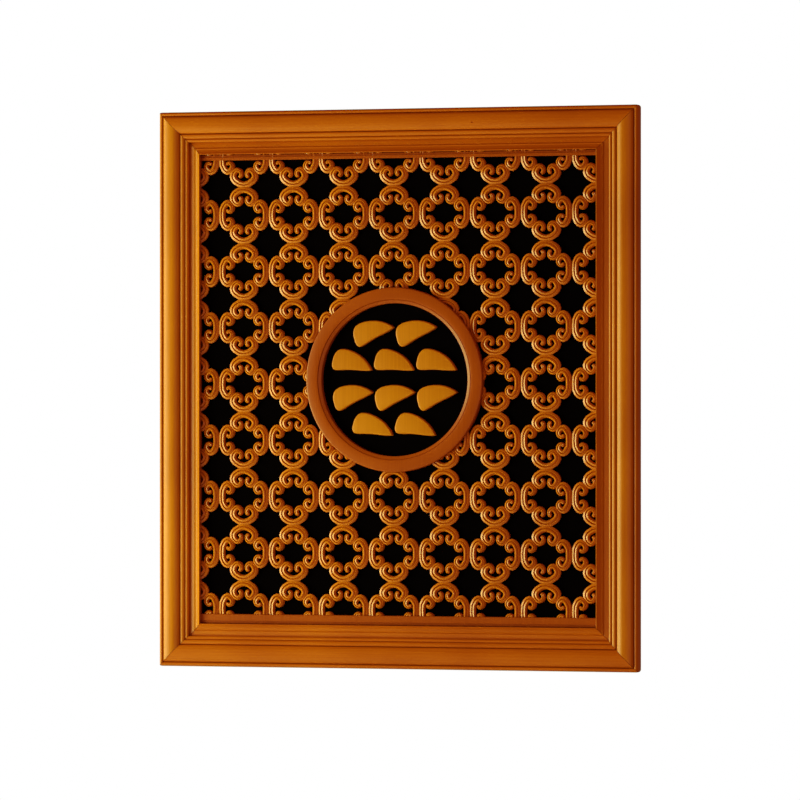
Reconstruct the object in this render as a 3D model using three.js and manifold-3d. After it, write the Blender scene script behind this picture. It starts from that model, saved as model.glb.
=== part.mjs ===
// Decorative wall panel: four mitred frame mouldings hold a pierced fretwork board of C-scrolls with a
// round medallion ring, over a black backing board. Brush strokes lie on the backing inside the ring.
// Millimetres. X is right, Z is up, the wall is the plane Y = 0 and the panel faces -Y.
import * as THREE from 'three';
import { mergeVertices } from 'three/addons/utils/BufferGeometryUtils.js';
import Module from 'manifold-3d';

const wasm = await Module();
wasm.setup();

// Overall size
const panelWidth = 600;
const panelHeight = 670;

// Frame moulding, measured inwards from the outer edge
const outerBeadWidth = 5.2;
const mainFaceWidth = 21.7;
const mainEdgeWidth = 1.2;
const innerBeadWidth = 5.9;
const smallBeadWidth = 4;
const bandWidth = 15;
const bandLineShare = 0.44;

// Frame moulding, heights above the wall
const outerSideHeight = 8;
const outerBeadHeight = 13.2;
const outerGrooveHeight = 11.4;
const mainFaceHeight = 16.8;
const mainEdgeHeight = 12.2;
const innerGrooveHeight = 9.3;
const innerBeadHeight = 12;
const beadLineHeight = 10.6;
const smallBeadHeight = 11.9;
const bandStartHeight = 6.8;
const bandLineHeight = 10.6;
const sightHeight = 14.5;
const sightEdgeRadius = 1;

// Boards behind the moulding
const clearance = 0.3;
const mitreGap = 0.22;
const lipWidth = 7.2;
const backingThickness = 2.7;
const boardThickness = 5.7;
const latticeDrop = 0.7;
const sideMarginCover = 0.4;
const topStripWidth = 7.2;
const bottomStripWidth = 11.8;

// Fretwork cells, counted from the cell that the medallion covers
const cellWidth = 63.2;
const cellHeight = 67.8;
const latticeCentreX = -4.2;
const latticeCentreZ = 6.3;
const cellsEachWay = 4;
const fuseDepth = 0.3;

// Each C-scroll keeps its share of the cell: half its width, how far it reaches in, and its strap's width
const upperScroll = {
  half: 0.291 * cellWidth,
  reach: 0.354 * cellHeight,
  strap: 0.109 * cellHeight,
  flatBack: 0.087 * cellWidth,
  stem: 0.028 * cellWidth,
};
const sideScroll = {
  half: 0.288 * cellHeight,
  reach: 0.329 * cellWidth,
  strap: 0.112 * cellWidth,
  flatBack: 0.1 * cellHeight,
  stem: 0.027 * cellHeight,
};

// Medallion ring
const ringCentreX = -2.5;
const ringCentreZ = 10.9;
const ringInnerRadius = 91.5;
const ringWidth = 19;
const ringBevelWidth = 4.6;
const ringRise = 3.4;
const ringSegments = 40;

// Brush strokes inside the ring, raised over the backing, in rows that lean to alternate sides
const strokeThickness = 5.4;
const strokeBevel = 1.3;
const strokeWidth = 0.295 * ringInnerRadius;
const strokeArch = 0.055 * ringInnerRadius;
const strokeGap = 0.038 * ringInnerRadius;
const strokeRows = [
  { rise: 0.634 * ringInnerRadius, count: 2, tilt: 16, length: 0.568 * ringInnerRadius },
  { rise: 0.219 * ringInnerRadius, count: 3, tilt: -14, length: 0.557 * ringInnerRadius },
  { rise: -0.208 * ringInnerRadius, count: 3, tilt: 15, length: 0.557 * ringInnerRadius },
  { rise: -0.623 * ringInnerRadius, count: 2, tilt: -16, length: 0.568 * ringInnerRadius },
];

// Heights and distances that follow from the sizes above
const outerGroove = outerBeadWidth;
const innerGroove = outerGroove + mainFaceWidth;
const beadLine = innerGroove + innerBeadWidth;
const bandStart = beadLine + smallBeadWidth;
const frameWidth = bandStart + bandWidth;
const lipStart = frameWidth - lipWidth;
const boardBack = backingThickness + clearance;
const boardFront = boardBack + boardThickness;
const lipBack = boardFront + clearance;
const latticeFront = boardFront - latticeDrop;

const varnishedWood = new THREE.MeshStandardMaterial({ color: 0xb05a0c, roughness: 0.38, metalness: 0 });
const carvedWood = new THREE.MeshStandardMaterial({ color: 0xb8620f, roughness: 0.4, metalness: 0 });
const strokeWood = new THREE.MeshStandardMaterial({ color: 0xbb6608, roughness: 0.4, metalness: 0 });
const blackBoard = new THREE.MeshStandardMaterial({ color: 0x040404, roughness: 0.9, metalness: 0 });

// A solid that can be joined or cut, from a closed three.js geometry
function toSolid(geometry) {
  const plain = geometry.index ? geometry.toNonIndexed() : geometry.clone();
  plain.deleteAttribute('normal');
  plain.deleteAttribute('uv');
  const merged = mergeVertices(plain, 1e-4);
  return new wasm.Manifold(new wasm.Mesh({
    numProp: 3,
    vertProperties: new Float32Array(merged.attributes.position.array),
    triVerts: new Uint32Array(merged.index.array),
  }));
}

function toGeometry(solid) {
  const mesh = solid.getMesh();
  const geometry = new THREE.BufferGeometry();
  geometry.setAttribute('position', new THREE.BufferAttribute(new Float32Array(mesh.vertProperties), 3));
  geometry.setIndex(new THREE.BufferAttribute(new Uint32Array(mesh.triVerts), 1));
  geometry.computeVertexNormals();
  return geometry;
}

// Joins solids in pairs, which keeps each join small
function joinAll(solids) {
  let level = solids;
  while (level.length > 1) {
    const next = [];
    for (let i = 0; i < level.length; i += 2) {
      next.push(i + 1 < level.length ? level[i].add(level[i + 1]) : level[i]);
    }
    level = next;
  }
  return level[0];
}

// A flat outline in X and Z, raised from one height above the wall to another
function raised(shape, low, high, bevel = 0) {
  const geometry = new THREE.ExtrudeGeometry(shape, {
    depth: high - low - 2 * bevel,
    bevelEnabled: bevel > 0,
    bevelThickness: bevel,
    bevelSize: bevel,
    bevelOffset: -bevel,
    bevelSegments: 1,
    curveSegments: 6,
  });
  geometry.translate(0, 0, low + bevel);
  return geometry.rotateX(Math.PI / 2);
}

function rectangle(left, right, bottom, top) {
  const shape = new THREE.Shape();
  shape.moveTo(left, bottom).lineTo(right, bottom).lineTo(right, top).lineTo(left, top);
  return shape;
}

// Cross-section of the moulding: X is the distance from the outer edge, Y the height above the wall
function mouldingSection() {
  const shape = new THREE.Shape();
  const outerCrest = outerGroove * 0.5;
  const mainCrest = outerGroove + mainFaceWidth * 0.31;
  const mainShoulder = outerGroove + mainFaceWidth * 0.72;
  const innerCrest = innerGroove + innerBeadWidth * 0.48;
  const smallCrest = beadLine + smallBeadWidth * 0.42;
  const bandLine = bandStart + bandWidth * bandLineShare;
  shape.moveTo(0, 0);
  shape.lineTo(0, outerSideHeight);
  shape.quadraticCurveTo(0, outerBeadHeight, outerCrest, outerBeadHeight);
  shape.lineTo(outerGroove, outerGrooveHeight);
  shape.quadraticCurveTo(outerGroove + 0.6, mainFaceHeight, mainCrest, mainFaceHeight);
  shape.quadraticCurveTo(mainShoulder, mainFaceHeight, innerGroove - mainEdgeWidth, mainEdgeHeight);
  shape.lineTo(innerGroove, innerGrooveHeight);
  shape.lineTo(innerGroove + 0.7, (innerGrooveHeight + 2 * innerBeadHeight) / 3);
  shape.lineTo(innerCrest, innerBeadHeight);
  shape.lineTo(beadLine, beadLineHeight);
  shape.lineTo(smallCrest, smallBeadHeight);
  shape.lineTo(bandStart, bandStartHeight);
  shape.lineTo(bandLine, bandLineHeight);
  shape.lineTo(frameWidth - 1.5 * sightEdgeRadius, sightHeight - 0.4 * sightEdgeRadius);
  shape.lineTo(frameWidth - 0.6 * sightEdgeRadius, sightHeight);
  shape.lineTo(frameWidth, sightHeight - sightEdgeRadius);
  shape.lineTo(frameWidth, lipBack);
  shape.lineTo(lipStart, lipBack);
  shape.lineTo(lipStart, 0);
  return shape;
}

// One length of moulding along the top edge, mitred at both ends
function moulding(length, halfSpan) {
  const settings = { depth: 1, bevelEnabled: false, curveSegments: 3 };
  const geometry = new THREE.ExtrudeGeometry(mouldingSection(), settings);
  const place = geometry.attributes.position;
  for (let i = 0; i < place.count; i += 1) {
    const inward = place.getX(i);
    const height = place.getY(i);
    const along = 0.5 - place.getZ(i);
    place.setXYZ(i, along * (length - 2 * (inward + mitreGap)), -height, halfSpan - inward);
  }
  return geometry;
}

function frameMember(name, length, halfSpan, turn) {
  const mesh = new THREE.Mesh(moulding(length, halfSpan), varnishedWood);
  mesh.name = name;
  mesh.rotation.y = turn;
  return mesh;
}

// Outline of one C-scroll. Its back lies along the cell's edge and its two curls point into the cell.
function scrollOutline({ half, reach, strap, flatBack, stem }) {
  const oneSide = [
    [flatBack, -fuseDepth],
    [half * 0.93, reach * 0.25],
    [half * 0.94, reach * 0.7],
    [half * 0.46, reach],
    [stem, strap + 1.2],
  ];
  const otherSide = oneSide.map(([across, deep]) => [-across, deep]).reverse();
  return [...oneSide, ...otherSide];
}

// The four scrolls of a cell, as outlines about the cell's centre
function cellOutlines() {
  const upper = scrollOutline(upperScroll);
  const side = scrollOutline(sideScroll);
  return [
    upper.map(([across, deep]) => [across, cellHeight / 2 - deep]),
    upper.map(([across, deep]) => [-across, deep - cellHeight / 2]),
    side.map(([across, deep]) => [cellWidth / 2 - deep, -across]),
    side.map(([across, deep]) => [deep - cellWidth / 2, across]),
  ];
}

function outlineShape(points, moveX, moveZ) {
  return new THREE.Shape(points.map(([x, z]) => new THREE.Vector2(x + moveX, z + moveZ)));
}

function scrollLattice() {
  const scrolls = [];
  for (let column = -cellsEachWay; column <= cellsEachWay; column += 1) {
    for (let row = -cellsEachWay; row <= cellsEachWay; row += 1) {
      const x = latticeCentreX + column * cellWidth;
      const z = latticeCentreZ + row * cellHeight;
      for (const outline of cellOutlines()) {
        scrolls.push(toSolid(raised(outlineShape(outline, x, z), boardBack, latticeFront)));
      }
    }
  }
  return joinAll(scrolls);
}

// Margins of the board: hidden under the frame at the sides, and showing as strips above and below
function boardMargins() {
  const halfWidth = panelWidth / 2 - lipStart - clearance;
  const halfHeight = panelHeight / 2 - lipStart - clearance;
  const margin = rectangle(-halfWidth, halfWidth, -halfHeight, halfHeight);
  const openHalf = panelWidth / 2 - frameWidth + sideMarginCover;
  const openTop = panelHeight / 2 - frameWidth - topStripWidth;
  const openBottom = frameWidth + bottomStripWidth - panelHeight / 2;
  margin.holes.push(rectangle(-openHalf, openHalf, openBottom, openTop));
  return { margin, outer: rectangle(-halfWidth, halfWidth, -halfHeight, halfHeight) };
}

function ringSolid() {
  const front = boardFront + ringRise;
  const outerRadius = ringInnerRadius + ringWidth;
  const line = ringInnerRadius + ringBevelWidth;
  const profile = [
    [ringInnerRadius, boardBack],
    [outerRadius, boardBack],
    [outerRadius, front - 1.6],
    [outerRadius - 2, front],
    [line, front],
    [ringInnerRadius, front - 2],
    [ringInnerRadius, boardBack],
  ].map(([radius, height]) => new THREE.Vector2(radius, height));
  const geometry = new THREE.LatheGeometry(profile, ringSegments);
  return toSolid(geometry.rotateX(Math.PI).translate(ringCentreX, 0, ringCentreZ));
}

function medallionOpening(radius) {
  const disc = new THREE.Shape();
  disc.absarc(ringCentreX, ringCentreZ, radius, 0, 2 * Math.PI);
  return toSolid(raised(disc, 0, boardFront + ringRise));
}

function fretworkBoard() {
  const { margin, outer } = boardMargins();
  const trimmed = scrollLattice()
    .intersect(toSolid(raised(outer, boardBack, boardFront)))
    .subtract(medallionOpening(ringInnerRadius + ringWidth / 2));
  return trimmed.add(toSolid(raised(margin, boardBack, boardFront))).add(ringSolid());
}

// Half a stroke's width along it, as shares, from the blunt head to the pointed tail
const strokeHalfWidths = [[0, 0.42], [0.1, 0.94], [0.4, 0.88], [0.75, 0.6]];

// One bold brush stroke about its own centre, with its spine arched along +X
function strokeOutline(length, width, arch) {
  const spine = (t) => new THREE.Vector2((t - 0.5) * length, arch * (4 * t * (1 - t) - 0.5));
  const edge = (side) => strokeHalfWidths.map(([t, share]) => {
    const point = spine(t);
    point.y += side * share * width / 2;
    return point;
  });
  return [...edge(-1), spine(1), ...edge(1).reverse()];
}

function brushStroke(name, x, z, tilt, length) {
  const middle = new THREE.Vector2();
  const outline = strokeOutline(length, strokeWidth, strokeArch).map((point) => (
    point.rotateAround(middle, THREE.MathUtils.degToRad(tilt)).add(new THREE.Vector2(x, z))
  ));
  const geometry = raised(new THREE.Shape(outline), boardBack, boardBack + strokeThickness, strokeBevel);
  const mesh = new THREE.Mesh(geometry, strokeWood);
  mesh.name = name;
  return mesh;
}

// Rows of separate strokes, which fill the medallion and spell nothing
function brushStrokes() {
  const strokes = [];
  for (const { rise, count, tilt, length } of strokeRows) {
    const step = length * Math.cos(THREE.MathUtils.degToRad(tilt)) + strokeGap;
    for (let i = 0; i < count; i += 1) {
      const x = ringCentreX + (i - (count - 1) / 2) * step;
      const z = ringCentreZ + rise;
      strokes.push(brushStroke(`brush_stroke_${strokes.length + 1}`, x, z, tilt, length));
    }
  }
  return strokes;
}

function backingBoard() {
  const width = panelWidth - 2 * (lipStart + clearance);
  const height = panelHeight - 2 * (lipStart + clearance);
  const mesh = new THREE.Mesh(new THREE.BoxGeometry(width, backingThickness, height), blackBoard);
  mesh.name = 'backing_board';
  mesh.position.y = -backingThickness / 2;
  return mesh;
}

const panel = new THREE.Group();
panel.add(frameMember('top_rail', panelWidth, panelHeight / 2, 0));
panel.add(frameMember('right_stile', panelHeight, panelWidth / 2, Math.PI / 2));
panel.add(frameMember('bottom_rail', panelWidth, panelHeight / 2, Math.PI));
panel.add(frameMember('left_stile', panelHeight, panelWidth / 2, -Math.PI / 2));
panel.add(backingBoard());

const fretwork = new THREE.Mesh(toGeometry(fretworkBoard()), carvedWood);
fretwork.name = 'fretwork_board';
panel.add(fretwork);

panel.add(...brushStrokes());

export default panel;
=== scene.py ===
# %% [markdown]
# This scene dresses a carved wall panel. Four mitred mouldings make the frame, a board pierced into
# C-scrolls fills it, and a round medallion sits near its middle over a black backing board.
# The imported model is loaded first, so that each new piece can be placed in the same millimetres.

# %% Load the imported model
import math

import bpy
from mathutils import Matrix, Vector


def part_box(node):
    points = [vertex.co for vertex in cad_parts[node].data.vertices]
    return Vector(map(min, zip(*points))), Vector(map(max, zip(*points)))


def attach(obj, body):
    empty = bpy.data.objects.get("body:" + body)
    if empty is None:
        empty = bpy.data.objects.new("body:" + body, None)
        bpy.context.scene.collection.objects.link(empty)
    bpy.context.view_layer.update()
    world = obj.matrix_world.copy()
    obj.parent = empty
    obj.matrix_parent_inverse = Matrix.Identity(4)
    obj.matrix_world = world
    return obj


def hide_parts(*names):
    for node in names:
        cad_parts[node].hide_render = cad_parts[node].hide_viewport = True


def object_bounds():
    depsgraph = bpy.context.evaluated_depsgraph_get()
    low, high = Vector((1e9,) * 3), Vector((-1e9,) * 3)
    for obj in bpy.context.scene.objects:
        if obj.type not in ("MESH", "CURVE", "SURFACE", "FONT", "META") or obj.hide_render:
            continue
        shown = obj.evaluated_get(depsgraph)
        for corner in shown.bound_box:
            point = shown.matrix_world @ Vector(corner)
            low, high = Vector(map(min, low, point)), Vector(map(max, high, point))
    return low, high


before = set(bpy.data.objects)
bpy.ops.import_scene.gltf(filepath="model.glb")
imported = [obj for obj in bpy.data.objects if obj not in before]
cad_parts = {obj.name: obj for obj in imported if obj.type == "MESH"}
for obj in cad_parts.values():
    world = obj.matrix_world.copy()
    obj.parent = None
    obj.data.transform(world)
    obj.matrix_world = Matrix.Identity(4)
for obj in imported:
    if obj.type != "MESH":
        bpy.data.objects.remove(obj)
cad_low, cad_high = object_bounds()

MM = 0.001

# %% [markdown]
# The panel's own sizes are worked out from the loaded nodes where a node shows them: the outer size from
# the whole box, the frame's width from a rail, the boards' depths from the fretwork board. The rest are
# the maker's sizes, in millimetres, as the carver would mark them out.

# %% Sizes, in millimetres
half_width = cad_high.x / MM
half_height = cad_high.z / MM
board_low, board_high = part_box("fretwork_board")
rail_low, rail_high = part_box("top_rail")
frame_width = (rail_high.z - rail_low.z) / MM
board_back = -board_high.y / MM
board_reach_x = board_high.x / MM
board_reach_z = board_high.z / MM
ring_front = -board_low.y / MM
RING_RISE = 3.4
LATTICE_DROP = 0.7
strip_front = ring_front - RING_RISE
lattice_front = strip_front - LATTICE_DROP
sight_reach_x = half_width - frame_width
sight_reach_z = half_height - frame_width
print("panel", 2 * half_width, "x", 2 * half_height, "frame", round(frame_width, 2))

# %% [markdown]
# Colours are chosen as they look on a screen, so they are written as sRGB hex values and turned to the
# linear values that the renderer works in. A second helper adds one shader node with its settings and
# links, which keeps each material short enough to read.

# %% Colour and node helpers
def colour(hex_value):
    channels = [int(hex_value[i:i + 2], 16) / 255 for i in (1, 3, 5)]
    linear = [c / 12.92 if c <= 0.04045 else ((c + 0.055) / 1.055) ** 2.4 for c in channels]
    return (*linear, 1.0)


def add_node(tree, kind, settings=None, **inputs):
    node = tree.nodes.new(kind)
    for name, value in (settings or {}).items():
        setattr(node, name, value)
    for name, value in inputs.items():
        socket = node.inputs[int(name[1:]) if name[0] == "_" else name.replace("_", " ")]
        if isinstance(value, bpy.types.NodeSocket):
            tree.links.new(value, socket)
        else:
            socket.default_value = value
    return node


# %% [markdown]
# The frame, the carving and the strokes are a reddish hardwood under an orange-brown varnish. The
# varnish is brushed on and satin, so it gives soft streaks of light rather than mirror images. The grain
# under it is fine: long faint streaks that run along each piece of timber. An ambient occlusion mask
# paints shade into the colour. The corners and grooves of a carving are darkened towards a red-brown, as
# painted shade that also stands for the stain gathered there.

# %% Varnished wood
GRAIN_WIDTH = 1.1 * MM
GRAIN_LENGTH = 110 * MM
MOTTLE_SIZE = 140 * MM
# Reach, colour and strength of the painted shade in corners and grooves, which also stands for stain
# gathered there.
SHADE_AND_STAIN_REACH = 4 * MM
SHADE_AND_STAIN_COLOUR = "#7E2C00"
SHADE_AND_STAIN_STRENGTH = 0.55
GRAIN_SHARE = 0.4
GRAIN_RELIEF = 0.1 * MM


def varnished_wood(name, light, middle, dark, along, roughness=0.33, gloss=0.26):
    material = bpy.data.materials.new(name)
    material.use_nodes = True
    tree = material.node_tree
    shader = tree.nodes["Principled BSDF"]
    place = add_node(tree, "ShaderNodeTexCoord").outputs["Object"]
    stretch = [1 / GRAIN_WIDTH] * 3
    stretch["xyz".index(along)] = 1 / GRAIN_LENGTH
    grain_place = add_node(tree, "ShaderNodeMapping", Vector=place, Scale=stretch)
    grain = add_node(tree, "ShaderNodeTexNoise", Vector=grain_place.outputs[0], Scale=1.0, Detail=3.0)
    mottle = add_node(tree, "ShaderNodeTexNoise", Vector=place, Scale=1 / MOTTLE_SIZE, Detail=2.0)
    grain_part = add_node(tree, "ShaderNodeMath", {"operation": "MULTIPLY"},
                          _0=grain.outputs[0], _1=GRAIN_SHARE)
    both = add_node(tree, "ShaderNodeMath", {"operation": "MULTIPLY_ADD"},
                    _0=mottle.outputs[0], _1=1 - GRAIN_SHARE, _2=grain_part.outputs[0])
    ramp = add_node(tree, "ShaderNodeValToRGB", Fac=both.outputs[0])
    ramp.color_ramp.elements[0].position = 0.3
    ramp.color_ramp.elements[0].color = colour(dark)
    ramp.color_ramp.elements[1].position = 0.7
    ramp.color_ramp.elements[1].color = colour(light)
    ramp.color_ramp.elements.new(0.5).color = colour(middle)
    # Painted shade: an ambient occlusion mask darkens corners and grooves towards the red-brown colour.
    corner = add_node(tree, "ShaderNodeAmbientOcclusion", {"samples": 8}, Distance=SHADE_AND_STAIN_REACH)
    shade_and_stain = add_node(tree, "ShaderNodeMapRange", Value=corner.outputs["AO"], **{
        "From Min": 0.3, "From Max": 0.92, "To Min": SHADE_AND_STAIN_STRENGTH, "To Max": 0.0})
    shaded_and_stained = add_node(tree, "ShaderNodeMix", {"data_type": "RGBA"}, Factor=shade_and_stain.outputs[0])
    tree.links.new(ramp.outputs[0], shaded_and_stained.inputs[6])
    shaded_and_stained.inputs[7].default_value = colour(SHADE_AND_STAIN_COLOUR)
    tree.links.new(shaded_and_stained.outputs[2], shader.inputs["Base Color"])
    rough = add_node(tree, "ShaderNodeMapRange", Value=grain.outputs[0], **{
        "From Min": 0.3, "From Max": 0.7, "To Min": roughness - 0.04, "To Max": roughness + 0.05})
    tree.links.new(rough.outputs[0], shader.inputs["Roughness"])
    bump = add_node(tree, "ShaderNodeBump", Height=grain.outputs[0], Strength=0.06,
                    Distance=GRAIN_RELIEF)
    tree.links.new(bump.outputs[0], shader.inputs["Normal"])
    shader.inputs["IOR"].default_value = 1.5
    shader.inputs["Specular IOR Level"].default_value = gloss
    shader.inputs["Coat Weight"].default_value = 0.05
    shader.inputs["Coat Roughness"].default_value = 0.2
    return material


# The rails and stiles are one wood. The stiles' copy is painted a little lighter and more golden and the
# rails' a little redder, as painted light for the raking key that falls on the left stile.
rail_wood = varnished_wood("varnished_rail_wood", "#C87602", "#BE6C02", "#AE5E00", "x")
stile_wood = varnished_wood("varnished_stile_wood", "#CC8204", "#C27802", "#B26A00", "z")
carved_wood = varnished_wood("varnished_carved_wood", "#D48610", "#CA7C0C", "#BA6E08", "z", 0.28, 0.45)
# A darker copy for the ring and the board's strips; on the strips it is painted shade.
ring_and_shaded_strip_wood = varnished_wood("varnished_ring_and_shaded_strip_wood", "#AE6002", "#A55802", "#964E00", "z")
stroke_wood = varnished_wood("varnished_stroke_wood", "#CE8A08", "#C68004", "#B87402", "z")
print("materials:", [m.name for m in bpy.data.materials])

# %% [markdown]
# The backing is a thin board painted matt black. Flat black paint still has a faint unevenness in its
# sheen, so its roughness varies a little while its colour stays almost nil.

# %% Black painted board
SPECK_SIZE = 2 * MM


def black_paint(name):
    material = bpy.data.materials.new(name)
    material.use_nodes = True
    tree = material.node_tree
    shader = tree.nodes["Principled BSDF"]
    place = add_node(tree, "ShaderNodeTexCoord").outputs["Object"]
    speck = add_node(tree, "ShaderNodeTexNoise", Vector=place, Scale=1 / SPECK_SIZE, Detail=2.0)
    tint = add_node(tree, "ShaderNodeMix", {"data_type": "RGBA"}, Factor=speck.outputs[0])
    tint.inputs[6].default_value = colour("#010101")
    tint.inputs[7].default_value = colour("#030303")
    tree.links.new(tint.outputs[2], shader.inputs["Base Color"])
    rough = add_node(tree, "ShaderNodeMapRange", Value=speck.outputs[0],
                     **{"To Min": 0.85, "To Max": 1.0})
    tree.links.new(rough.outputs[0], shader.inputs["Roughness"])
    shader.inputs["Specular IOR Level"].default_value = 0.02
    return material


matt_black = black_paint("matt_black_paint")
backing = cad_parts["backing_board"]
backing.data.materials.clear()
backing.data.materials.append(matt_black)
print("backing board painted")

# %% [markdown]
# The photograph was taken through a long lens from the right of the panel's axis, a little below its
# middle, with the camera held level. A long lens far away keeps the panel's edges almost parallel. The
# lens is worked out from the distance in pixels that the photograph's perspective gives.

# %% Camera
PICTURE_WIDTH = 800
SENSOR = 36.0
FARTHEST_SEEN = 100
camera_turn = math.radians(17.545)
camera_distance = 6698.5 * MM
camera_height = -32.6 * MM
focal_pixels = 5597.9
horizon_drop = 16.14
aim_right = math.radians(0.0134)

camera_data = bpy.data.cameras.new("photo_camera")
camera_data.sensor_width = SENSOR
camera_data.lens = focal_pixels / PICTURE_WIDTH * SENSOR
camera_data.shift_y = horizon_drop / PICTURE_WIDTH
camera_data.clip_end = FARTHEST_SEEN
camera = bpy.data.objects.new("photo_camera", camera_data)
bpy.context.scene.collection.objects.link(camera)
camera.location = (camera_distance * math.sin(camera_turn), -camera_distance * math.cos(camera_turn),
                   camera_height)
camera.rotation_euler = (math.radians(90), 0, camera_turn - aim_right)
bpy.context.scene.camera = camera
print("lens", round(camera_data.lens, 1), "mm")

# %% [markdown]
# The key is a soft studio light that rakes the panel from the left. It stands closer to the left stile
# than to the right one, so the panel darkens gently across its width. A wide fill from the front right
# and a dim warm room keep the grooves from going black. Amber varnish looks golden in full light and
# red-brown in the shade, so the key is tinted yellow and the rest orange, and a curve steepens the
# green a little. The floor is plain and pale, well below the panel, because the panel hangs on a wall.

# %% Light and floor
GREEN_CURVE = [(0.03, 0.022), (0.065, 0.052), (0.1, 0.092), (0.16, 0.172), (0.3, 0.33), (0.6, 0.63)]
FLOOR_DROP = 450 * MM
FLOOR_SIZE = 6


def soft_light(name, place, aim, size, power, tint):
    data = bpy.data.lights.new(name, "AREA")
    data.shape = "DISK"
    data.size = size
    data.energy = power
    data.color = colour(tint)[:3]
    light = bpy.data.objects.new(name, data)
    bpy.context.scene.collection.objects.link(light)
    light.location = place
    light.rotation_euler = (Vector(aim) - Vector(place)).to_track_quat("-Z", "Y").to_euler()


soft_light("key_light", (-1.7, -0.8, -0.25), (-0.05, 0, 0), 1.5, 47, "#FFFFB8")
soft_light("fill_light", (1.2, -3.4, -0.4), (0, 0, 0), 2.0, 15.5, "#FFBC84")

world = bpy.data.worlds.new("studio_world")
bpy.context.scene.world = world
world.use_nodes = True
sky = world.node_tree
sky.nodes.clear()
room_light = add_node(sky, "ShaderNodeBackground", Color=colour("#FF9C5C"), Strength=0.24)
backdrop = add_node(sky, "ShaderNodeBackground", Color=colour("#FFFFFF"), Strength=1.0)
ray = add_node(sky, "ShaderNodeLightPath")
mixed = add_node(sky, "ShaderNodeMixShader", Fac=ray.outputs["Is Camera Ray"], _1=room_light.outputs[0],
                 _2=backdrop.outputs[0])
add_node(sky, "ShaderNodeOutputWorld", Surface=mixed.outputs[0])
view = bpy.context.scene.view_settings
view.view_transform = "Standard"
view.use_curve_mapping = True
green = view.curve_mapping.curves[1]
for light_in, light_shown in GREEN_CURVE:
    green.points.new(light_in, light_shown)
view.curve_mapping.update()

bpy.ops.object.select_all(action="DESELECT")
bpy.ops.mesh.primitive_plane_add(size=FLOOR_SIZE, location=(0, 0, cad_low.z - FLOOR_DROP))
floor = bpy.context.object
floor.name = "studio_floor"
floor_paint = bpy.data.materials.new("pale_floor_paint")
floor_paint.use_nodes = True
floor_shader = floor_paint.node_tree.nodes["Principled BSDF"]
floor_shader.inputs["Base Color"].default_value = colour("#EDECE8")
floor_shader.inputs["Roughness"].default_value = 0.7
floor.data.materials.append(floor_paint)
print("floor at", round(floor.location.z, 3))

# %% [markdown]
# Each frame member is a length of moulding, run through a cutter and mitred at both ends. It is modelled
# the same way. A single vertex is extruded point by point round the moulding's section, the closed
# section is filled and extruded to length, and two bisects make the mitre cuts. Rounded parts of the
# section come from short curves, so that the light rolls over them.

# %% Drawing and finishing helpers
def edit_new_vertex(at):
    bpy.ops.object.select_all(action="DESELECT")
    bpy.ops.mesh.primitive_plane_add(size=MM)
    bpy.ops.object.mode_set(mode="EDIT")
    bpy.ops.mesh.select_mode(type="VERT")
    bpy.ops.mesh.merge(type="CENTER")
    bpy.ops.transform.translate(value=at)
    return bpy.context.object


def draw_closed_outline(points):
    piece = edit_new_vertex(points[0])
    for here, there in zip(points, points[1:] + points[:1]):
        bpy.ops.mesh.extrude_region_move(TRANSFORM_OT_translate={"value": there - here})
    bpy.ops.mesh.select_all(action="SELECT")
    bpy.ops.mesh.remove_doubles(threshold=0.001 * MM)
    return piece


def fill_and_extrude(by):
    bpy.ops.mesh.edge_face_add()
    bpy.ops.mesh.extrude_region_move(TRANSFORM_OT_translate={"value": by})
    bpy.ops.mesh.select_all(action="SELECT")
    bpy.ops.mesh.normals_make_consistent(inside=False)


def leave_edit(piece, name, smooth_degrees):
    bpy.ops.object.mode_set(mode="OBJECT")
    piece.name = name
    piece.data.name = name
    bpy.ops.object.shade_smooth_by_angle(angle=math.radians(smooth_degrees))
    return piece


def dress(piece, material, slot, *replaced):
    piece.data.materials.clear()
    piece.data.materials.append(material)
    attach(piece, "root")
    if replaced:
        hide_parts(*replaced)
    print(piece.name, len(piece.data.polygons), "faces")
    return piece


def curve_through(start, pull, end, steps):
    points = []
    for i in range(1, steps + 1):
        t = i / steps
        points.append(tuple((1 - t) ** 2 * a + 2 * t * (1 - t) * b + t * t * c
                            for a, b, c in zip(start, pull, end)))
    return points


# %% [markdown]
# The moulding's section is written as distances in from the outer edge and heights over the wall. From
# outside in it has a rounded outer bead, a quirk, the broad rounded main face, a second quirk, two small
# beads, and a sunk inner band with one fine line, which rises to the lip over the fretwork.

# %% Moulding section
LIP_WIDTH = 7.2
BOARD_CLEARANCE = 0.3
SIDE_HEIGHT = 8
OUTER_BEAD_HEIGHT = 14
OUTER_QUIRK = (5.2, 11.5)
FACE_EDGE = (7.4, 15.2)
FACE_CREST = (16.5, 16.8)
FACE_END = (25.3, 13.6)
INNER_QUIRK = (26.5, 10.9)
FIRST_BEAD_HEIGHT = 13.2
BEAD_LINE = (32.8, 10.4)
SECOND_BEAD_HEIGHT = 11.6
BAND_START = (36.8, 6.8)
BAND_LINE = (43.4, 7.5)
LIP_HEIGHT = 13.6


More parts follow.
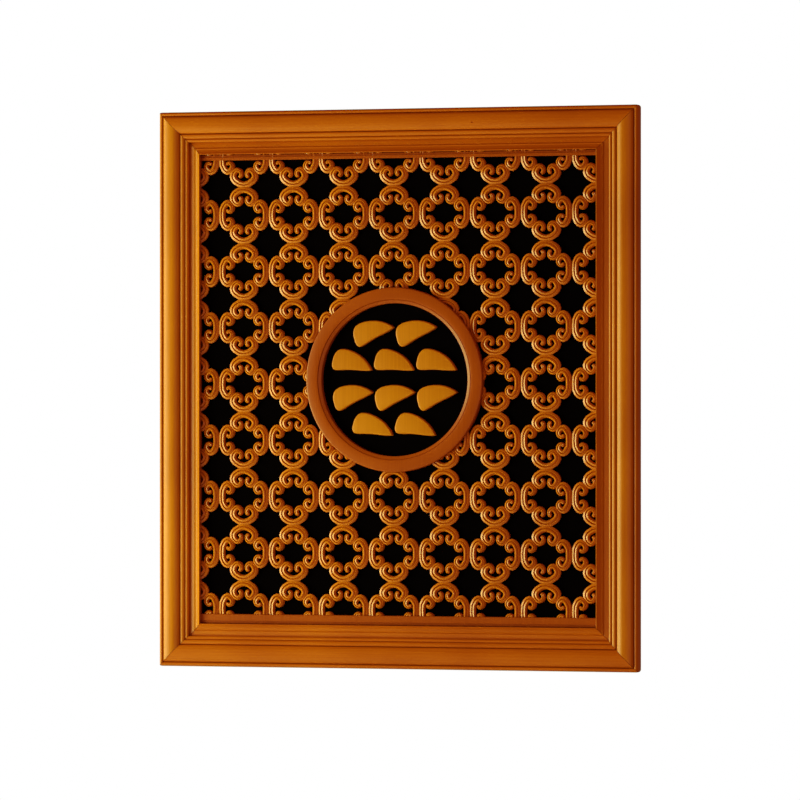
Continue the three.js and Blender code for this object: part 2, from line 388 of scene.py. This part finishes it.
def moulding_section():
    quirk, quirk_floor = OUTER_QUIRK
    points = [(0, 0), (0, SIDE_HEIGHT)]
    bead_top = (2.6, OUTER_BEAD_HEIGHT)
    points += curve_through((0, SIDE_HEIGHT), (0.1, OUTER_BEAD_HEIGHT), bead_top, 6)
    points += curve_through(bead_top, (4.4, OUTER_BEAD_HEIGHT), (quirk - 0.2, quirk_floor + 0.7), 5)
    points += [OUTER_QUIRK]
    points += curve_through(OUTER_QUIRK, (quirk + 0.3, 14.2), FACE_EDGE, 4)
    points += curve_through(FACE_EDGE, (11, FACE_CREST[1]), FACE_CREST, 8)
    points += curve_through(FACE_CREST, (21.5, FACE_CREST[1]), FACE_END, 9)
    quirk, quirk_floor = INNER_QUIRK
    points += curve_through(FACE_END, (quirk - 0.2, 12.8), (quirk - 0.1, quirk_floor + 0.5), 3)
    points += [INNER_QUIRK]
    bead_top = (quirk + 2.4, FIRST_BEAD_HEIGHT)
    points += curve_through(INNER_QUIRK, (quirk + 0.3, FIRST_BEAD_HEIGHT), bead_top, 5)
    line, line_floor = BEAD_LINE
    points += curve_through(bead_top, (line - 1.4, 13), (line - 0.2, line_floor + 0.6), 5)
    points += [BEAD_LINE]
    bead_top = (line + 1.3, SECOND_BEAD_HEIGHT)
    start, start_floor = BAND_START
    points += curve_through(BEAD_LINE, (line + 0.4, SECOND_BEAD_HEIGHT), bead_top, 3)
    bead_end = (start - 0.2, start_floor + 3.4)
    points += curve_through(bead_top, (start - 1.2, SECOND_BEAD_HEIGHT), bead_end, 4)
    points += [(start, start_floor + 2.6), BAND_START]
    line, line_floor = BAND_LINE
    points += [(line - 0.5, line_floor + 0.3), BAND_LINE, (line + 0.5, line_floor + 0.6)]
    sight = frame_width
    lip_start = (sight - 1.2, LIP_HEIGHT - 0.8)
    points += curve_through((line + 0.5, line_floor + 0.6), (sight - 3, 10), lip_start, 6)
    points += curve_through(lip_start, (sight - 0.6, LIP_HEIGHT), (sight, LIP_HEIGHT - 1), 3)
    lip_back = strip_front + BOARD_CLEARANCE
    points += [(sight, lip_back), (sight - LIP_WIDTH, lip_back), (sight - LIP_WIDTH, 0)]
    return points


print("section points:", len(moulding_section()))

# %% [markdown]
# Two bisects cut the mitres of a member, a quarter of a millimetre short, which leaves the dark hairline
# that a glued mitre shows. Three more small cuts at each end round the frame's outer corner in plan, as
# sandpaper does.

# %% Four mitred frame members
MITRE_GAP = 0.25
CORNER_RADIUS = 3.6
CORNER_CUTS = (10, 24, 38)  # degrees from the rail's outer face


def cut_off(point, normal):
    bpy.ops.mesh.select_all(action="SELECT")
    bpy.ops.mesh.bisect(plane_co=point, plane_no=normal, use_fill=True, clear_outer=True)


def frame_member(name, span, reach, turn, material):
    outline = [Vector((-span, -height, reach - inward)) * MM for inward, height in moulding_section()]
    piece = draw_closed_outline(outline)
    fill_and_extrude((2 * span * MM, 0, 0))
    for side in (-1, 1):
        cut_off(Vector((side * (span - MITRE_GAP), 0, reach)) * MM, (side, 0, -1))
        for degrees in CORNER_CUTS:
            lean = math.radians(degrees)
            normal = Vector((side * math.sin(lean), 0, math.cos(lean)))
            centre = Vector((side * (span - CORNER_RADIUS), 0, reach - CORNER_RADIUS))
            cut_off((centre + normal * CORNER_RADIUS) * MM, normal)
    leave_edit(piece, name + "_moulding", 38)
    piece.data.transform(Matrix.Rotation(turn, 4, "Y"))
    return dress(piece, material, "frame_wood", name)


top_moulding = frame_member("top_rail", half_width, half_height, 0, rail_wood)
bottom_moulding = frame_member("bottom_rail", half_width, half_height, math.pi, rail_wood)
frame_member("right_stile", half_height, half_width, math.pi / 2, stile_wood)
frame_member("left_stile", half_height, half_width, -math.pi / 2, stile_wood)

# %% [markdown]
# Two small flaws mark the rails, where a knot or a nail hole was. Each is a shallow dimple, taken out of
# the moulding by a boolean with a flattened ball.

# %% Two dimples in the rails
DIMPLE_WIDTH = 0.8


def dimple(member, x, z, height, length, depth):
    bpy.ops.object.select_all(action="DESELECT")
    bpy.ops.mesh.primitive_uv_sphere_add(segments=12, ring_count=8, radius=MM,
                                         location=(x * MM, -height * MM, z * MM),
                                         scale=(length, depth, DIMPLE_WIDTH))
    cutter = bpy.context.object
    bpy.context.view_layer.objects.active = member
    cut = member.modifiers.new("dimple", "BOOLEAN")
    cut.object = cutter
    cut.operation = "DIFFERENCE"
    cut.solver = "EXACT"
    bpy.ops.object.modifier_apply(modifier=cut.name)
    bpy.data.objects.remove(cutter)
    print(member.name, "dimple at", x, z)


dimple(top_moulding, 96.7, 316.7, 16.9, 1.5, 1.1)
dimple(bottom_moulding, -121, -308.3, 9.4, 1.8, 1.0)

# %% [markdown]
# The fretwork is one board sawn into C-scrolls, back to back. Each strap is carved with two rounded
# ridges and a fine groove between them. It narrows as it curls in to a small rounded end, and the groove
# fades out there. A strap starts as a flat grid. Each row of its vertices is moved to a station along
# the scroll's centre line, and each column takes its height from the carved section. Its rim is then
# pulled back to give it thickness.

# %% One carved scroll
UPPER_CURL = [  # across, inwards, width of the strap, from the back's middle to the curl's end
    (0, 3.0, 7.2), (5.8, 4.0, 8.0), (11.3, 7.6, 8.1), (14.1, 12.6, 7.9), (12.4, 17.8, 7.4),
    (8.3, 20.6, 6.3), (4.7, 19.1, 5.4), (3.4, 16.0, 4.9), (4.4, 13.2, 4.9), (6.6, 12.8, 4.6),
]
SIDE_CURL = [
    (0, 3.6, 7.4), (7.0, 4.1, 7.6), (12.1, 6.6, 7.8), (15.0, 10.5, 7.7), (13.4, 14.7, 7.1),
    (9.4, 16.8, 6.0), (5.9, 15.8, 5.2), (4.4, 13.3, 4.8), (5.3, 11.0, 4.8), (7.4, 10.7, 4.4),
]
# Place as a share of the half width, from the hollow side out, then height as a share of the carving's
# depth, at the scroll's back and at the curl's end.
STRAP_SECTION = [
    (-1, 0.5, 0.4), (-0.52, 1, 0.88), (-0.08, 0.86, 1), (0.14, 0.5, 0.97), (0.38, 0.95, 0.94),
    (1, 0.5, 0.4),
]
STRAIGHT_KNOTS = 2
CARVING_DEPTH = 3.2
END_NARROWING = 0.55
END_DROP = 0.3


def station(knots, t):
    last = len(knots) - 1
    i = min(int(t), last - 1)
    ends = [knots[max(i - 1, 0)], knots[i], knots[i + 1], knots[min(i + 2, last)]]
    if i == 0:
        ends[0] = (-knots[1][0], knots[1][1], knots[1][2])
    f = t - i
    values = []
    for a, b, c, d in zip(*ends):
        values.append(0.5 * (2 * b + (c - a) * f + (2 * a - 5 * b + 4 * c - d) * f * f
                             + (3 * b - a - 3 * c + d) * f ** 3))
    return values


def scroll_stations(knots):
    last = len(knots) - 1
    steps = list(range(STRAIGHT_KNOTS)) + [i / 2 for i in range(2 * STRAIGHT_KNOTS, 2 * last + 1)]
    one_side = [station(knots, t) for t in steps]
    other_side = [(-across, inward, width) for across, inward, width in one_side[:0:-1]]
    return other_side + one_side


def carved_scroll(name, knots):
    stations = scroll_stations(knots)
    rows = len(stations)
    columns = len(STRAP_SECTION)
    bpy.ops.object.select_all(action="DESELECT")
    bpy.ops.mesh.primitive_grid_add(x_subdivisions=rows - 1, y_subdivisions=columns - 1, size=1)
    piece = bpy.context.object
    for vertex in piece.data.vertices:
        row = round((vertex.co.x + 0.5) * (rows - 1))
        column = round((vertex.co.y + 0.5) * (columns - 1))
        across, inward, width = stations[row]
        before = Vector(stations[max(row - 1, 0)][:2])
        after = Vector(stations[min(row + 1, rows - 1)][:2])
        along = (after - before).normalized()
        offset, share_at_back, share_at_end = STRAP_SECTION[column]
        curled = abs(2 * row / (rows - 1) - 1) ** 2
        share = share_at_back + (share_at_end - share_at_back) * curled
        at_end = row in (0, rows - 1)
        spread = width / 2 * offset * (END_NARROWING if at_end else 1)
        height = lattice_front - CARVING_DEPTH * (1 - share) - (END_DROP if at_end else 0)
        x = across + along.y * spread
        z = -(inward - along.x * spread)
        vertex.co = Vector((x, -height, z)) * MM
    bpy.ops.object.mode_set(mode="EDIT")
    bpy.ops.mesh.select_all(action="DESELECT")
    bpy.ops.mesh.select_mode(type="EDGE")
    bpy.ops.mesh.select_non_manifold()
    bpy.ops.mesh.extrude_region_move(TRANSFORM_OT_translate={"value": (0, MM, 0)})
    bpy.ops.transform.resize(value=(1, 0, 1), center_override=(0, -board_back * MM, 0))
    bpy.ops.mesh.edge_face_add()
    bpy.ops.mesh.select_all(action="SELECT")
    bpy.ops.mesh.normals_make_consistent(inside=False)
    return leave_edit(piece, name, 50)


upper_scroll = carved_scroll("upper_scroll", UPPER_CURL)
side_scroll = carved_scroll("side_scroll", SIDE_CURL)
print("scroll faces:", len(upper_scroll.data.polygons), len(side_scroll.data.polygons))

# %% [markdown]
# The two scrolls are copied over the board, four to a cell. Scrolls that the medallion would cover are
# left out, those under its ring are cut off beneath it, and those that run under the frame are
# cut short inside the rebate.

# %% Lattice of scrolls
CELL_WIDTH = 63.2
CELL_HEIGHT = 67.8
LATTICE_X = -4.2
LATTICE_Z = 6.3
RING_X = -2.5
RING_Z = 10.9
RING_INNER = 91.5
RING_WIDTH = 19.0
RING_CUT = RING_INNER + RING_WIDTH * 0.55
CUTTER_DEPTH = 60 * MM
TOP_STRIP = 7.2
BOTTOM_STRIP = 11.8
WINDOW_TOP = sight_reach_z - TOP_STRIP
WINDOW_BOTTOM = BOTTOM_STRIP - sight_reach_z
COLUMNS = range(-4, 5)
ROWS = range(-4, 5)

bpy.ops.object.select_all(action="DESELECT")
bpy.ops.mesh.primitive_cylinder_add(vertices=96, radius=RING_CUT * MM, depth=CUTTER_DEPTH,
                                    rotation=(math.pi / 2, 0, 0), location=(RING_X * MM, 0, RING_Z * MM))
ring_cutter = bpy.context.object


def cell_places(column, row):
    x = LATTICE_X + column * CELL_WIDTH
    z = LATTICE_Z + row * CELL_HEIGHT
    return [
        (upper_scroll, x, z + CELL_HEIGHT / 2, 0),
        (upper_scroll, x, z - CELL_HEIGHT / 2, math.pi),
        (side_scroll, x + CELL_WIDTH / 2, z, math.pi / 2),
        (side_scroll, x - CELL_WIDTH / 2, z, -math.pi / 2),
    ]


def place_scroll(source, x, z, turn):
    mesh = source.data.copy()
    mesh.transform(Matrix.Translation(Vector((x, 0, z)) * MM) @ Matrix.Rotation(turn, 4, "Y"))
    xs = [v.co.x / MM for v in mesh.vertices]
    zs = [v.co.z / MM for v in mesh.vertices]
    radii = [math.hypot(a - RING_X, b - RING_Z) for a, b in zip(xs, zs)]
    hidden = max(radii) < RING_CUT or min(zs) > WINDOW_TOP or max(zs) < WINDOW_BOTTOM
    if hidden or min(abs(a) for a in xs) > sight_reach_x:
        return None
    scroll = bpy.data.objects.new(source.name + "_copy", mesh)
    bpy.context.scene.collection.objects.link(scroll)
    bpy.context.view_layer.objects.active = scroll
    scroll.select_set(True)
    if min(radii) < RING_CUT:
        cut = scroll.modifiers.new("under_ring", "BOOLEAN")
        cut.object = ring_cutter
        cut.operation = "DIFFERENCE"
        cut.solver = "EXACT"
        cut.use_self = True
        bpy.ops.object.modifier_apply(modifier=cut.name)
    if max(abs(a) for a in xs) > board_reach_x:
        side = 1 if x > 0 else -1
        bpy.ops.object.mode_set(mode="EDIT")
        bpy.ops.mesh.select_all(action="SELECT")
        bpy.ops.mesh.bisect(plane_co=(side * board_reach_x * MM, 0, 0), plane_no=(side, 0, 0),
                            use_fill=True, clear_outer=True)
        bpy.ops.object.mode_set(mode="OBJECT")
    scroll.select_set(False)
    return scroll


bpy.ops.object.select_all(action="DESELECT")
scrolls = []
for column in COLUMNS:
    for row in ROWS:
        scrolls += [place_scroll(*place) for place in cell_places(column, row)]
scrolls = [scroll for scroll in scrolls if scroll]
print("scrolls:", len(scrolls))

# %% [markdown]
# The board keeps a plain strip along its top and bottom edges. Next to the frame runs a sunk band with
# a row of small teeth, the marks of a punch, and then a gutter. One tooth is modelled and an array
# modifier repeats it. At the sides only a hidden margin is left, under the lip.

# %% Board strips
GUTTER_WIDTH = 1.2
GUTTER_DEPTH = 2.8
TOOTH_BAND = (1.2, 3.3)
TOOTH_STEP = 2.1
TOOTH_RISE = 0.5
BAND_DEPTH = 0.9
STRIP_EDGE = 0.7
SIDE_COVER = 0.4
TOOTH_COUNT = int(2 * sight_reach_x / TOOTH_STEP)
TOOTH_SIZE = (TOOTH_STEP * 0.62, TOOTH_RISE, TOOTH_BAND[1] - TOOTH_BAND[0] - 0.5)
TOOTH_TAPER = (0.6, 1, 0.7)


def board_strip(name, window_edge, outer_edge, along_z):
    direction = 1 if outer_edge > window_edge else -1
    rise = [(window_edge, board_back), (window_edge, strip_front - STRIP_EDGE)]
    rise += [(window_edge + direction * STRIP_EDGE, strip_front)]
    if along_z:
        span = board_reach_z - 1
    else:
        span = board_reach_x
        groove = direction * (sight_reach_z - TOOTH_BAND[1])
        rise += [(groove - direction * 0.5, strip_front), (groove, strip_front - BAND_DEPTH)]
        gutter = direction * (sight_reach_z - GUTTER_WIDTH)
        far_side = direction * (sight_reach_z + 1)
        rise += [(gutter, strip_front - BAND_DEPTH), (gutter, strip_front - GUTTER_DEPTH)]
        rise += [(far_side, strip_front - GUTTER_DEPTH), (far_side, strip_front)]
    rise += [(outer_edge, strip_front), (outer_edge, board_back)]
    if along_z:
        outline = [Vector((along, -height, -span)) * MM for along, height in rise]
        run = (0, 0, 2 * span * MM)
    else:
        outline = [Vector((-span, -height, along)) * MM for along, height in rise]
        run = (2 * span * MM, 0, 0)
    piece = draw_closed_outline(outline)
    fill_and_extrude(run)
    return leave_edit(piece, name, 30)


def tooth_row(direction):
    middle = direction * (sight_reach_z - sum(TOOTH_BAND) / 2)
    first = (0.5 - TOOTH_COUNT / 2) * TOOTH_STEP
    floor_height = strip_front - BAND_DEPTH
    bpy.ops.object.select_all(action="DESELECT")
    bpy.ops.mesh.primitive_cube_add(size=MM, scale=TOOTH_SIZE,
                                    location=(first * MM, -floor_height * MM, middle * MM))
    row = bpy.context.object
    bpy.ops.object.transform_apply(location=True, rotation=True, scale=True)
    for face in row.data.polygons:
        face.select = face.normal.y < -0.5
    bpy.ops.object.mode_set(mode="EDIT")
    bpy.ops.transform.resize(value=TOOTH_TAPER)
    bpy.ops.object.mode_set(mode="OBJECT")
    array = row.modifiers.new("teeth", "ARRAY")
    array.count = TOOTH_COUNT
    array.use_relative_offset = False
    array.use_constant_offset = True
    array.constant_offset_displace = (TOOTH_STEP * MM, 0, 0)
    bpy.ops.object.modifier_apply(modifier=array.name)
    return row


side_window = sight_reach_x + SIDE_COVER
board_pieces = [
    board_strip("top_strip", WINDOW_TOP, board_reach_z, False),
    board_strip("bottom_strip", WINDOW_BOTTOM, -board_reach_z, False),
    board_strip("right_margin", side_window, board_reach_x, True),
    board_strip("left_margin", -side_window, -board_reach_x, True),
    tooth_row(1),
    tooth_row(-1),
]
print("teeth in a row:", TOOTH_COUNT)

# %% [markdown]
# The medallion's ring is turned work: a broad, almost flat band with a soft outer edge, a fine line near
# the opening and a slope down to it. Its section is drawn once and spun round the ring's centre.

# %% Medallion ring
RING_STEPS = 128


def ring_section():
    outer = RING_INNER + RING_WIDTH
    line = RING_INNER + 4.2
    points = [(RING_INNER, board_back), (RING_INNER, ring_front - 2.6)]
    points += curve_through((RING_INNER, ring_front - 2.6), (RING_INNER, ring_front - 1.9),
                            (RING_INNER + 0.8, ring_front - 1.7), 2)
    line_end = (line + 0.5, ring_front - 0.3)
    points += [(line - 0.5, ring_front - 0.8), (line, ring_front - 1.2), line_end]
    points += curve_through(line_end, (line + 2, ring_front), (line + 4, ring_front), 3)
    points += curve_through((outer - 2.4, ring_front), (outer, ring_front), (outer, ring_front - 1.8), 5)
    points += [(outer, board_back)]
    return points


centre = Vector((RING_X, 0, RING_Z)) * MM
section = [centre + Vector((radius, -height, 0)) * MM for radius, height in ring_section()]
ring = draw_closed_outline(section)
bpy.ops.mesh.spin(steps=RING_STEPS, angle=2 * math.pi, center=centre, axis=(0, 1, 0))
bpy.ops.mesh.select_all(action="SELECT")
bpy.ops.mesh.remove_doubles(threshold=0.005 * MM)
bpy.ops.mesh.normals_make_consistent(inside=False)
leave_edit(ring, "medallion_ring", 35)
print("ring faces:", len(ring.data.polygons))

# %% [markdown]
# The scrolls become one piece. The ring, the strips, the side margins and the teeth become another, with
# a darker copy of the carving's wood. On the strips the darker colour is painted shade, for the shadow
# they lie in beside the frame. The ring is given as a darker wood.

# %% Join the fretwork board
def join(pieces):
    bpy.ops.object.select_all(action="DESELECT")
    for piece in pieces:
        piece.select_set(True)
    bpy.context.view_layer.objects.active = pieces[0]
    bpy.ops.object.join()
    return pieces[0]


board = join(scrolls)
board.name = "carved_fretwork_board"
board.data.name = "carved_fretwork_board"
for spare in (upper_scroll, side_scroll, ring_cutter):
    bpy.data.objects.remove(spare)
join([ring] + board_pieces)
dress(board, carved_wood, "carved_wood", "fretwork_board")
dress(ring, ring_and_shaded_strip_wood, "carved_wood", "fretwork_board")

# %% [markdown]
# The strokes inside the medallion are separate pieces of wood, each sawn to the shape of one dab of a
# broad brush and laid on the black board. Their edges are rounded over, so each catches a line of
# light. They stand in rows that lean to alternate sides.

# %% Brush strokes
STROKE_THICKNESS = 5.4
STROKE_WIDTH = 27.0
STROKE_ARCH = 5.0
STROKE_GAP = 3.5
STROKE_ROUNDING = 1.7
# Height over the ring's centre, strokes in the row, tilt in degrees, length of a stroke
STROKE_ROWS = [(58, 2, 16, 52), (20, 3, -14, 51), (-19, 3, 15, 51), (-57, 2, -16, 52)]
# Place along the stroke, then half its width there, both as shares of the whole
STROKE_HALF_WIDTHS = [
    (0, 0.3), (0.02, 0.6), (0.06, 0.84), (0.12, 0.96), (0.22, 0.98), (0.34, 0.92), (0.48, 0.82),
    (0.62, 0.7), (0.75, 0.55), (0.86, 0.36), (0.95, 0.16),
]


def stroke_outline(length):
    def spine(t):
        return Vector(((t - 0.5) * length, 0, STROKE_ARCH * (4 * t * (1 - t) - 0.5)))

    def edge(side):
        return [spine(t) + Vector((0, 0, side * share * STROKE_WIDTH / 2))
                for t, share in STROKE_HALF_WIDTHS]

    return edge(-1) + [spine(1)] + edge(1)[::-1]


def brush_stroke(number, x, z, tilt, length):
    turn = Matrix.Rotation(-math.radians(tilt), 4, "Y")
    outline = [(turn @ point + Vector((x, -board_back, z))) * MM for point in stroke_outline(length)]
    piece = draw_closed_outline(outline)
    fill_and_extrude((0, -STROKE_THICKNESS * MM, 0))
    front = -(board_back + STROKE_THICKNESS) * MM
    bpy.ops.mesh.select_mode(type="FACE")
    bpy.ops.mesh.select_all(action="DESELECT")
    bpy.ops.object.mode_set(mode="OBJECT")
    for face in piece.data.polygons:
        face.select = abs(face.center.y - front) < 0.1 * MM
    bpy.ops.object.mode_set(mode="EDIT")
    bpy.ops.mesh.bevel(offset=STROKE_ROUNDING * MM, segments=4, profile=0.5)
    leave_edit(piece, f"brush_stroke_piece_{number}", 40)
    dress(piece, stroke_wood, "stroke_wood", f"brush_stroke_{number}")


stroke_number = 0
for rise, count, tilt, length in STROKE_ROWS:
    step = length * math.cos(math.radians(tilt)) + STROKE_GAP
    for i in range(count):
        stroke_number += 1
        across = (i - (count - 1) / 2) * step
        brush_stroke(stroke_number, RING_X + across, RING_Z + rise, tilt, length)
